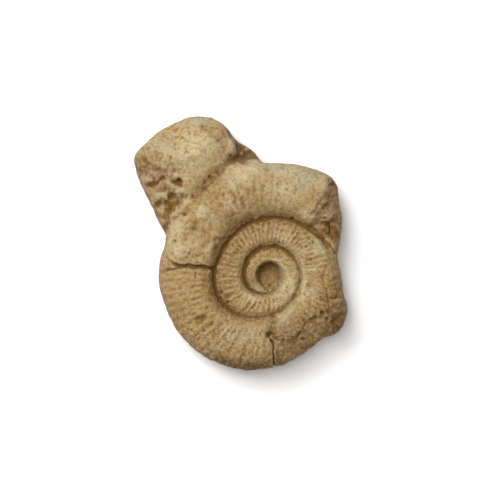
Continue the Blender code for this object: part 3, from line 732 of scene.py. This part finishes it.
WASHED_SOIL_AND_SHADE_MARKS = [  # the same soil, washed in thinly, and painted shade
    (-8, 30, 5, 4, 0.2), (-24, -10, 3, 4, 0.25), (-45.6, 34, 2.4, 2.4, 0.5), (-44, 26, 2, 3, 0.4),
    # painted shade with soil in the corner hollow at the far right and in the cavity at the broken end
    (1.6, -23, 3, 4, 0.3), (26.8, 35.8, 1.6, 3, 0.6), (24.6, 18.2, 2.4, 3.6, 0.6),
    # painted shade with soil on the shaded rim at the right
    (27, -14.6, 4, 6, 0.95), (24, -20, 5, 3, 0.5), (24.6, 25, 3.4, 8, 0.3), (-21.4, 9, 1.6, 5, 0.3),
    # the lump's shadow on the low facet, painted with soil, and painted shade on the lump's far left
    # corner
    (-16.4, 17.6, 3, 2.6, 0.3), (-14.6, 45.8, 3.4, 2, 0.6), (-50.4, 44.4, 5, 4.4, 0.75),
    # painted shade with soil on the shaded slopes and edges beside the groove at the left and top
    (-18.4, 48.8, 1.6, 2.4, 0.4), (-42, 40, 5, 3, 0.25), (-15, 11, 4, 5, 0.6), (-7, 19.8, 6, 2.8, 0.6),
    # painted shade with soil on the shaded slope left of the groove
    (-25, -2, 1.8, 4.4, 0.8), (-44.6, 35, 2.6, 2.6, 0.4), (-20.4, 38.6, 2.6, 2.4, 0.5),
    # painted shade with soil at the right rim
    (-36, -14, 5, 5, 0.25), (-37, 23, 3, 2.4, 0.3), (24, -10, 4, 5, 0.65), (2.6, -32, 2, 5, 0.45),
    # painted shade with soil in the corner hollow at the far right
    (12, -21, 7, 6, 0.5), (-4, -26, 5, 3, 0.2), (15, 11, 5, 5, 0.2), (27, 35.4, 1.8, 3.6, 0.8),
    (-18, 0, 3, 7, 0.2), (-12.4, 9.8, 3, 3.4, 0.45), (-1, 17.6, 9, 3.6, 0.2), (-29, 17, 3, 2.4, 0.25),
    (-24, 13.4, 2, 2.4, 0.3), (-30, 7.6, 3.6, 2.6, 0.25), (-1.6, 2, 3, 3, 0.3), (10, -28, 8, 5, 0.4),
    (-2, -37, 14, 2.2, 0.5), (27.6, -5, 2, 5, 0.2), (23, 31, 2, 3, 0.15),
]
PALE_AND_HIGHLIGHT_MARKS = [  # stone worn or washed clean, and a painted highlight
    (-34, 50, 9, 7, 0.6), (-30, 41, 4, 4, 0.3), (-34.4, 30.8, 2.4, 2.2, 0.6),
    (-45.9, 38.4, 1.6, 1.4, 0.4), (-39.8, 36, 0.9, 0.7, 0.8), (-44.6, 29.8, 3, 1.4, 0.6),
    (-37.4, 39.2, 1.6, 1.3, 0.7), (-44, 32, 2.6, 2, 0.4), (-14.2, 52, 1.8, 3.4, 0.95),
    (3, 4.8, 2.4, 1.4, 0.7), (3.6, 18.4, 2.2, 3.2, 0.5), (6, 13.6, 2.4, 2, 0.5),
    (-9.6, 49.2, 2.6, 2.4, 0.8), (-4.8, 46.2, 2, 1.4, 0.6), (22, 34, 2.4, 3.4, 0.25),
    (-15, 28.4, 2.8, 2.6, 0.5), (4.6, 2.4, 1.6, 2.4, 0.5), (-3.4, -6, 4, 2.4, 0.6),
    (17.6, 10.6, 4, 3, 0.4), (3.6, -5.6, 4, 2.4, 0.8), (5, -12.6, 6, 2, 0.5), (12, 2, 1.6, 1.6, 0.6),
    (-23, 9.4, 2, 3.4, 0.5), (15.4, 24, 3, 2.4, 0.6), (-40.6, 33, 2.4, 1.4, 0.4), (-34, 11, 6, 5, 0.35),
    (-35.6, 19.6, 3, 3, 0.4), (-24, 51, 4, 3, 0.4), (-17.8, 45.4, 2, 2.4, 0.8), (-42, 29, 4, 5, 0.35),
    (8, -5, 4, 5, 0.5), (-6, -9, 4, 3, 0.35), (-35, 32, 2.4, 2.4, 0.8), (-39, 15, 3, 3, 0.6),
    (-17.4, 44.6, 2, 1.6, 0.6), (-49, 36, 2.4, 2, 0.5), (6, 34, 8, 6, 0.35), (-14, 38, 7, 5, 0.35),
    (-26.8, 24.8, 2.4, 2.4, 0.6), (2, 42, 8, 2.4, 0.6), (17, -7, 2.5, 2.5, 0.4),
    # a painted highlight on the slope facing the light, right of the middle whorl
    (13.6, -4.6, 0.9, 5, 0.95), (6, -17, 4, 3.6, 0.5), (-6, -24, 7, 4, 0.3), (17, 2.4, 2.4, 1, 0.6),
    (16.8, -22, 1.8, 1.6, 0.5), (-1, -20.8, 1.6, 1.4, 0.4), (17, 19.8, 2, 1.4, 0.5),
    (-12, 34.6, 1.6, 2, 0.4), (-33.6, 31.4, 2.2, 1.6, 0.8), (-4, 43, 3, 2, 0.6),
    (-9, 38.6, 3.4, 2.6, 0.4), (20, 14.6, 2.6, 1.4, 0.5), (13.4, -0.6, 2.4, 2.4, 0.4),
    (-21, 4.4, 1.4, 1.4, 0.5), (-15.6, -21.4, 3, 2, 0.4),
]
OCHRE_MARKS = [  # stained by iron
    (2, -13.6, 9, 3, 0.5), (-38, 58.8, 3, 1.6, 0.7), (-36.8, 53.6, 5, 3, 0.4), (15.2, 1.6, 2, 2, 0.5),
    (-20, 17, 5, 5, 0.3), (-26, -24, 8, 5, 0.3),
]
GREY_MARKS = [  # a thin film of lichen and dust
    (2.6, -18.4, 1.6, 1.8, 0.6), (-22.8, 22, 2.6, 2.6, 0.4), (16, 38, 8, 4, 0.8), (-10, 48, 5, 3.4, 0.95),
    (-28, 61, 8, 2.6, 0.8), (-46, 51.4, 7, 3.4, 0.6), (4, 42.4, 8, 2, 0.8), (20, 12, 5, 5, 0.3),
    (25.4, 28, 2.6, 6, 0.6),
]
PINK_MARKS = [  # pinkish rock
    (-2, 41.2, 2.8, 1.4, 0.4), (-19.6, 2.8, 1.4, 2.2, 0.5), (3.2, 18.8, 2, 2, 0.4),
    (9.6, 12.4, 1.4, 1.4, 0.4), (-48, 39, 4.4, 5, 0.8), (-42, 39, 4.4, 2.8, 0.7), (-42, 30, 5, 6, 0.4),
    (-10, 50, 5, 4, 0.6), (25, 26, 3, 8, 0.6), (22, -20, 6, 5, 0.4), (-33, -26, 4, 3, 0.5),
    (-24, -33, 6, 3, 0.5), (-12, -37, 7, 2.4, 0.5), (28, -12, 3, 3, 0.4), (24.6, 19, 3, 5, 0.9),
    (8, -24, 8, 6, 0.45),
]

# Soil along a line, in places with painted shade: the line, half its width and a strength.
SOIL_AND_SHADE_LINES = [
    # painted shade with soil in the valley between the lump and the coil
    ([(-18.8, 42.4), (-23.6, 38.4), (-25.8, 34.2), (-29.8, 31.4)], 2.2, 0.6),
    # a painted shadow line with soil under the slab's ledge
    ([(-41.4, 2), (-37, 3), (-33.4, 3), (-29.6, 2.6), (-22.4, 2.2)], 1, 0.5),
    # painted shade with soil in the furrows between the outer whorl's ribs, this line and the next three
    ([(-13.2, 32.4), (-13.8, 26.4)], 1, 0.4),
    ([(-10.2, 35.4), (-10.4, 26.4)], 0.8, 0.45),
    ([(-6.8, 35), (-6.6, 26.6)], 0.8, 0.45),
    ([(-3, 35.8), (-3.2, 29)], 0.7, 0.35),
    ([(-20, -33.4), (-14, -35.8), (-6, -36.8), (1, -36.4), (5, -35.4)], 2.4, 0.75),
    ([(1.2, -17.6), (1.2, -23), (1.9, -28), (2, -37)], 1.3, 0.35),
    ([(18.6, -16.8), (14.7, -19.2), (12.4, -22.2)], 0.9, 0.4),
    ([(23.4, -9), (23.4, -15)], 0.9, 0.4),
    ([(22.4, 3.4), (21.4, 0.4), (21.2, -3.4)], 0.8, 0.45),
    ([(21, -6), (20.6, -9.6)], 0.8, 0.3),
    ([(20.4, -8.8), (26.4, -9.2)], 0.7, 0.35),
    # painted shade with soil in the cavity at the coil's broken end
    ([(25.4, 14), (24.6, 18.4), (25.6, 22.6)], 2.4, 0.6),
    ([(-43, 54), (-38, 49), (-35, 44)], 2.2, 0.25),
]

# By turn angle, how much soil and painted shade the slope above a groove holds, and how far up they go.
SLOPE_SOIL_AND_SHADE = [
    (430, 0.1), (480, 0.5), (530, 0.45), (570, 0.3), (640, 0.3), (700, 0), (830, 0.3), (850, 0.6),
    (878, 0.85), (892, 0.5), (910, 0.6), (930, 0.9), (955, 0.9), (985, 0.85), (1020, 0.6), (1045, 0.15),
]
SLOPE_REACH = [
    (480, 1.3), (640, 1.7), (875, 3.6), (892, 1.8), (915, 3), (930, 4), (955, 3.8), (985, 3), (1020, 2.6),
    (1045, 2),
]
# How much soil and painted shade the edge on the groove's inner side holds. It is as wide as the
# smaller of a width and a share of the whorl's width, both given below.
EDGE_SOIL_AND_SHADE = [
    (90, 0.15), (180, 0.65), (280, 0.85), (330, 0.25), (470, 0.3), (530, 0.5), (570, 0.9), (640, 0.85),
    (665, 0.6), (690, 0),
]
EDGE_SOIL_AND_SHADE_WIDTH = 3.0
EDGE_SOIL_AND_SHADE_SHARE = 0.3
GROOVE_SOIL = 0.35  # soil in the bottom of every groove
GROOVE_SOIL_WIDTH = 1.2
GROOVE_SOIL_END = (690, 670)  # turn angles over which it ends
MOST_GROOVE_SOIL_AND_SHADE = 0.8
PIT_SOIL = 0.22  # soil in the pit
LOW_DARKENING = 0.4  # how much darker the low sides are made
LOW_DARKENING_HEIGHT = (20.0, 8.0)  # heights over which it starts, going down
BROKEN_SOIL = 0.12  # ragged soil on the broken faces
HOLLOW_SOIL_AND_SHADE = 1.2  # and soil with painted shade in a broad hollow, for each millimetre that the hollow is deep
MOST_HOLLOW_SOIL_AND_SHADE = 0.4
BROAD_ROUNDS = 40  # rounds of averaging that show hollows millimetres wide
FINE_ROUNDS = 6  # and hollows about a millimetre wide
FINE_CONTRAST = 3.6  # how strongly these show, for each millimetre of depth


def layered(*layers):
    """How much of the stone several layers cover together, from how much each of them covers."""
    bare = 1
    for layer in layers:
        bare = bare * (1 - layer)
    return 1 - bare


def marked(x, y, marks):
    """How strongly each place carries a kind of mark."""
    spots = [
        most * np.exp(-(((x - mx) / rx) ** 2) - ((y - my) / ry) ** 2)
        for mx, my, rx, ry, most in marks
    ]
    return layered(*spots)


def groove_soil_and_shade(points):
    """Soil in the pit and in the grooves, and soil with painted shade on the slopes and edges beside
    them.
    """
    x, y = wander(points, size=2.2, amount=0.4)
    radius = np.hypot(x, y)
    turn, inner, outer = whorl_at(points[:, 0], points[:, 1])
    groove_turn, away = nearest_groove(x, y)
    bottom = GROOVE_SOIL * bell(away, GROOVE_SOIL_WIDTH) * ramp(groove_turn, *GROOVE_SOIL_END)
    # soil with painted shade on the slope that rises out of the groove
    slope = curve(SLOPE_SOIL_AND_SHADE, turn) * bell(radius - inner, curve(SLOPE_REACH, turn))
    edge_width = np.minimum(EDGE_SOIL_AND_SHADE_WIDTH, EDGE_SOIL_AND_SHADE_SHARE * (outer - inner))
    # soil with painted shade on the edge that falls into the groove
    edge = curve(EDGE_SOIL_AND_SHADE, turn) * bell(outer - radius, edge_width)
    soil_and_shade = np.clip(layered(bottom, np.maximum(slope, edge)), 0, MOST_GROOVE_SOIL_AND_SHADE)
    return np.where(turn < FIRST_TURN, PIT_SOIL, soil_and_shade)


def washed_soil_and_shade(x, y, points):
    """Soil washed in thinly, with painted shade: by the marks, along lines, in the grooves, and darker
    low down.
    """
    low = LOW_DARKENING * ramp(points[:, 2], *LOW_DARKENING_HEIGHT)
    layers = [marked(x, y, WASHED_SOIL_AND_SHADE_MARKS), groove_soil_and_shade(points), low]
    for line, width, most in SOIL_AND_SHADE_LINES:
        away, _ = distance_to_line(x, y, line)
        layers.append(most * bell(away, width))
    return layered(*layers)


def paint_marks(mesh, points):
    """Stores, for the limestone, where soil, stains, crusts, painted shade and highlights lie."""
    x, y = wander(points, size=2.2, amount=1.2)
    # soil and painted shade in the broad hollows
    hollows = np.clip(HOLLOW_SOIL_AND_SHADE * hollowness(mesh, points, BROAD_ROUNDS), 0, MOST_HOLLOW_SOIL_AND_SHADE)
    fields = {
        "soil_and_shade": marked(x, y, BROWN_SOIL_AND_SHADE_MARKS) + BROKEN_SOIL * broken_rock(x, y) + hollows,
        "thin_soil_and_shade": washed_soil_and_shade(x, y, points),
        "pale": marked(x, y, PALE_AND_HIGHLIGHT_MARKS),
        "ochre": marked(x, y, OCHRE_MARKS),
        "grey": marked(x, y, GREY_MARKS),
        "pink": marked(x, y, PINK_MARKS),
        "hollow": 0.5 + FINE_CONTRAST * hollowness(mesh, points, FINE_ROUNDS),
    }
    for name, values in fields.items():
        field = mesh.attributes.new(name, "FLOAT", "POINT")
        field.data.foreach_set("value", np.clip(values, 0, 1).astype(np.float32))


def make_stone():
    """The stone's mesh, in metres, standing where the solid that it replaces stands."""
    sheet = bmesh.new()
    bmesh.ops.create_icosphere(sheet, subdivisions=BALL_STEPS, radius=1.0)
    mesh = bpy.data.meshes.new("limestone_ammonite")
    sheet.to_mesh(mesh)
    sheet.free()
    points = stone_points(read_points(mesh))
    write_points(mesh, points)
    normals = read_normals(mesh)
    under = points[:, 2] < UNDERSIDE_HEIGHT
    points[:, 2] += np.where(under, underside_hollows(points), 0)
    points += skin_relief(points)[:, None] * normals
    points[:, 2] = np.maximum(points[:, 2], 0)
    write_points(mesh, points)
    mesh = thinned(mesh, MOST_TRIANGLES)
    points = read_points(mesh)
    paint_marks(mesh, points)
    low, high = points.min(0), points.max(0)
    middle = [(low[0] + high[0]) / 2, (low[1] + high[1]) / 2, low[2]]
    write_points(mesh, (points - middle) * MM)
    mesh.polygons.foreach_set("use_smooth", [True] * len(mesh.polygons))
    return mesh


# -------------------- limestone

# The sockets of a Map Range node, and of a Mix node that lays one colour on another.
RANGE = ("Value", "From Min", "From Max", "To Min", "To Max")
MIX_SHARE = 0
MIX_BELOW = 6
MIX_ABOVE = 7
MIX_RESULT = 2

SKIN_DEPTH = 0.08  # depth of the skin's finest relief, millimetres
PITTING = 2.6  # how much deeper its 1 mm pits are than its finer grain


def hex_colour(text):
    """An sRGB hex colour as the linear RGBA that Blender's nodes take."""
    parts = [int(text[i : i + 2], 16) / 255 for i in (0, 2, 4)]
    linear = [p / 12.92 if p <= 0.04045 else ((p + 0.055) / 1.055) ** 2.4 for p in parts]
    return (*linear, 1.0)


def add(tree, kind, inputs, output=0, **settings):
    """Adds a node and gives back one output. inputs holds values and other nodes' outputs."""
    new = tree.nodes.new("ShaderNode" + kind)
    for name, value in settings.items():
        setattr(new, name, value)
    for name, value in inputs.items():
        if isinstance(value, bpy.types.NodeSocket):
            tree.links.new(value, new.inputs[name])
        else:
            new.inputs[name].default_value = value
    return new.outputs[output]


def per_mm(size):
    """The texture scale, in metres, whose features are about this many millimetres across."""
    return 1 / (size * MM)


def weathered_limestone():
    """Fine-grained limestone, broken and then weathered in soil, never cut or polished.

    That leaves it matt and buff. The eye sees pale worn high places, ochre and grey patches a few
    millimetres across, brown grooves and pits, dark specks and a fine light and dark grain. Shade in
    grooves, hollows and valleys and a few highlights are painted into the colour too.
    """
    material = bpy.data.materials.new("weathered_limestone")
    material.use_nodes = True
    tree = material.node_tree
    surface = tree.nodes["Principled BSDF"]
    place = add(tree, "TexCoord", {}, "Object")
    on_stone = {
        name: add(tree, "Attribute", {}, "Fac", attribute_name=name)
        for name in ("pale", "ochre", "grey", "pink", "soil_and_shade", "thin_soil_and_shade", "hollow")
    }

    # Noise: name, size of its largest features in millimetres, detail, distortion.
    noises = {}
    for name, size, detail, twist in [
        ("patches", 6.0, 5.0, 0.0),
        ("clouds", 5.0, 4.0, 0.4),
        ("film", 2.5, 3.0, 0.0),
        ("blush", 3.0, 3.0, 0.0),
        ("ragged", 2.4, 5.0, 0.6),
        ("thin", 3.0, 4.0, 0.0),
        ("specks", 1.6, 4.0, 0.5),
        ("grain", 0.6, 2.0, 0.0),  # real grains are 0.1 mm: drawn coarser, so that they show
        ("skin", 1.1, 4.0, 0.0),
        ("fine_skin", 0.45, 2.0, 0.0),
    ]:
        inputs = {"Vector": place, "Scale": per_mm(size), "Detail": detail, "Distortion": twist}
        noises[name] = add(tree, "TexNoise", inputs)

    # What brings each stain out: a noise and a mark, and how much each of them counts.
    shares = {"specks": noises["specks"], "hollow": on_stone["hollow"]}
    for name, noise_share, mark, mark_share in [
        ("patches", 0.45, "pale", 1.0),
        ("clouds", 1.0, "ochre", 0.35),
        ("film", 1.0, "grey", 0.7),
        ("blush", 1.0, "pink", 0.7),
        ("ragged", 1.0, "soil_and_shade", 1.0),
    ]:
        noisy = add(tree, "Math", {0: noises[name], 1: noise_share}, operation="MULTIPLY")
        inputs = {0: on_stone[mark], 1: mark_share, 2: noisy}
        shares[name] = add(tree, "Math", inputs, operation="MULTIPLY_ADD")
    # The thin wash of soil and painted shade lies only by its marks, and the noise makes it 0.8 to 1.8
    # times as strong.
    thin = add(tree, "Math", {0: noises["thin"], 1: 0.8}, operation="ADD")
    shares["thin"] = add(tree, "Math", {0: thin, 1: on_stone["thin_soil_and_shade"]}, operation="MULTIPLY")

    # Each stain lies on those before it: what brings it out, where on that it starts and is
    # strongest, how much it covers there, and its colour.
    colour = hex_colour("95784C")  # buff stone
    for name, start, strongest, most, paint in [
        ("patches", 0.17, 0.72, 1.0, "B3A580"),  # paler, where the skin is worn clean, and where a highlight is painted
        ("clouds", 0.5, 0.95, 0.75, "9C7B42"),  # stained ochre by iron
        ("film", 0.5, 1.1, 0.9, "9B967C"),  # a thin grey film of lichen and dust
        ("blush", 0.5, 1.1, 0.9, "987C69"),  # pinkish rock
        ("ragged", 0.5, 1.3, 1.0, "604014"),  # soil with a ragged edge, with painted shade on a few rims, cavities and broad hollows
        ("thin", 0.0, 1.3, 1.0, "634115"),  # soil washed in thinly, with painted shade on slopes, edges, rims and in the valley
        ("hollow", 0.5, 0.95, 0.65, "5B3F12"),  # soil and painted shade in each small hollow
        ("hollow", 0.5, 0.12, 0.35, "B6A57C"),  # each small crest rubbed pale, with a painted highlight there
        ("specks", 0.53, 0.7, 0.5, "6B5026"),  # dark specks
    ]:
        share = add(tree, "MapRange", dict(zip(RANGE, (shares[name], start, strongest, 0.0, most))))
        inputs = {MIX_SHARE: share, MIX_BELOW: colour, MIX_ABOVE: hex_colour(paint)}
        colour = add(tree, "Mix", inputs, MIX_RESULT, data_type="RGBA")
    # The grain makes every colour up to 14% darker and 12% lighter.
    grain = add(tree, "MapRange", dict(zip(RANGE, (noises["grain"], 0.3, 0.7, 0.86, 1.12))))
    colour = add(tree, "VectorMath", {0: colour, 1: grain}, operation="MULTIPLY")
    tree.links.new(colour, surface.inputs["Base Color"])

    # Matt, and a little smoother on the rubbed crests.
    matt = add(tree, "MapRange", dict(zip(RANGE, (on_stone["hollow"], 0.2, 0.6, 0.78, 0.95))))
    tree.links.new(matt, surface.inputs["Roughness"])
    surface.inputs["IOR"].default_value = 1.5
    surface.inputs["Specular IOR Level"].default_value = 0.3

    # Pits 1 mm across over a finer grain, worn smoother where the stone is pale.
    skin = add(tree, "Math", {0: noises["skin"], 1: PITTING}, operation="MULTIPLY")
    skin = add(tree, "Math", {0: skin, 1: noises["fine_skin"]}, operation="ADD")
    worn = add(tree, "MapRange", dict(zip(RANGE, (on_stone["pale"], 0.0, 0.8, 1.0, 0.55))))
    inputs = {"Height": skin, "Distance": SKIN_DEPTH * MM, "Strength": worn}
    tree.links.new(add(tree, "Bump", inputs, "Normal"), surface.inputs["Normal"])
    return material


# -------------------- studio, metres

FLOOR_WIDTH = 6.0
ROOM_LIGHT = 0.27  # strength
LAMPS = [  # name, place, width and watts
    ("soft_overhead", (-0.12, 0.12, 1.5), 0.8, 11.7),
    ("window_light", (-0.43, 0.52, 0.89), 0.75, 11.6),  # from far left, for the relief's shade
]
LIT_PLACE = (0, 0, 0.01)  # what the lamps point at
CAMERA_PLACE = (0.0037, -0.0026, 1.2)
VIEW_WIDTH = 0.2  # what the camera takes in, at the height of the stone's widest line
VIEW_HEIGHT = 0.013


def uncoated_paper():
    """White paper, pressed but not coated: its fibres scatter light, so it looks flat and matt."""
    material = bpy.data.materials.new("matt_white_paper")
    material.use_nodes = True
    surface = material.node_tree.nodes["Principled BSDF"]
    surface.inputs["Base Color"].default_value = hex_colour("F6F8FC")
    surface.inputs["Roughness"].default_value = 0.9
    return material


def lay_floor():
    bpy.ops.mesh.primitive_plane_add(size=FLOOR_WIDTH)
    floor = bpy.context.object
    floor.name = "floor"
    floor.data.materials.append(uncoated_paper())


def light_room():
    """Soft light from everywhere, a wide lamp overhead and a smaller one from the far left."""
    scene = bpy.context.scene
    world = bpy.data.worlds.new("soft_room")
    scene.world = world
    world.use_nodes = True
    background = world.node_tree.nodes["Background"]
    background.inputs["Color"].default_value = hex_colour("FFF9F0")
    background.inputs["Strength"].default_value = ROOM_LIGHT
    for name, place, width, watts in LAMPS:
        lamp = bpy.data.lights.new(name, "AREA")
        lamp.shape = "DISK"
        lamp.size = width
        lamp.energy = watts
        lamp.color = hex_colour("FFFDFA")[:3]
        holder = bpy.data.objects.new(name, lamp)
        holder.location = place
        towards = Vector(LIT_PLACE) - holder.location
        holder.rotation_euler = towards.to_track_quat("-Z", "Y").to_euler()
        scene.collection.objects.link(holder)


def set_camera():
    """A camera straight above, looking down."""
    scene = bpy.context.scene
    lens = bpy.data.cameras.new("camera")
    camera = bpy.data.objects.new("camera", lens)
    scene.collection.objects.link(camera)
    camera.location = CAMERA_PLACE
    lens.lens = lens.sensor_width * (CAMERA_PLACE[2] - VIEW_HEIGHT) / VIEW_WIDTH
    scene.camera = camera
    scene.view_settings.view_transform = "Standard"


# -------------------- putting it together

stone = bpy.data.objects.new("limestone_ammonite", make_stone())
bpy.context.scene.collection.objects.link(stone)
stone.data.materials.append(weathered_limestone())
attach(stone, "root")
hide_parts("ammonite_fossil")

lay_floor()
light_room()
set_camera()
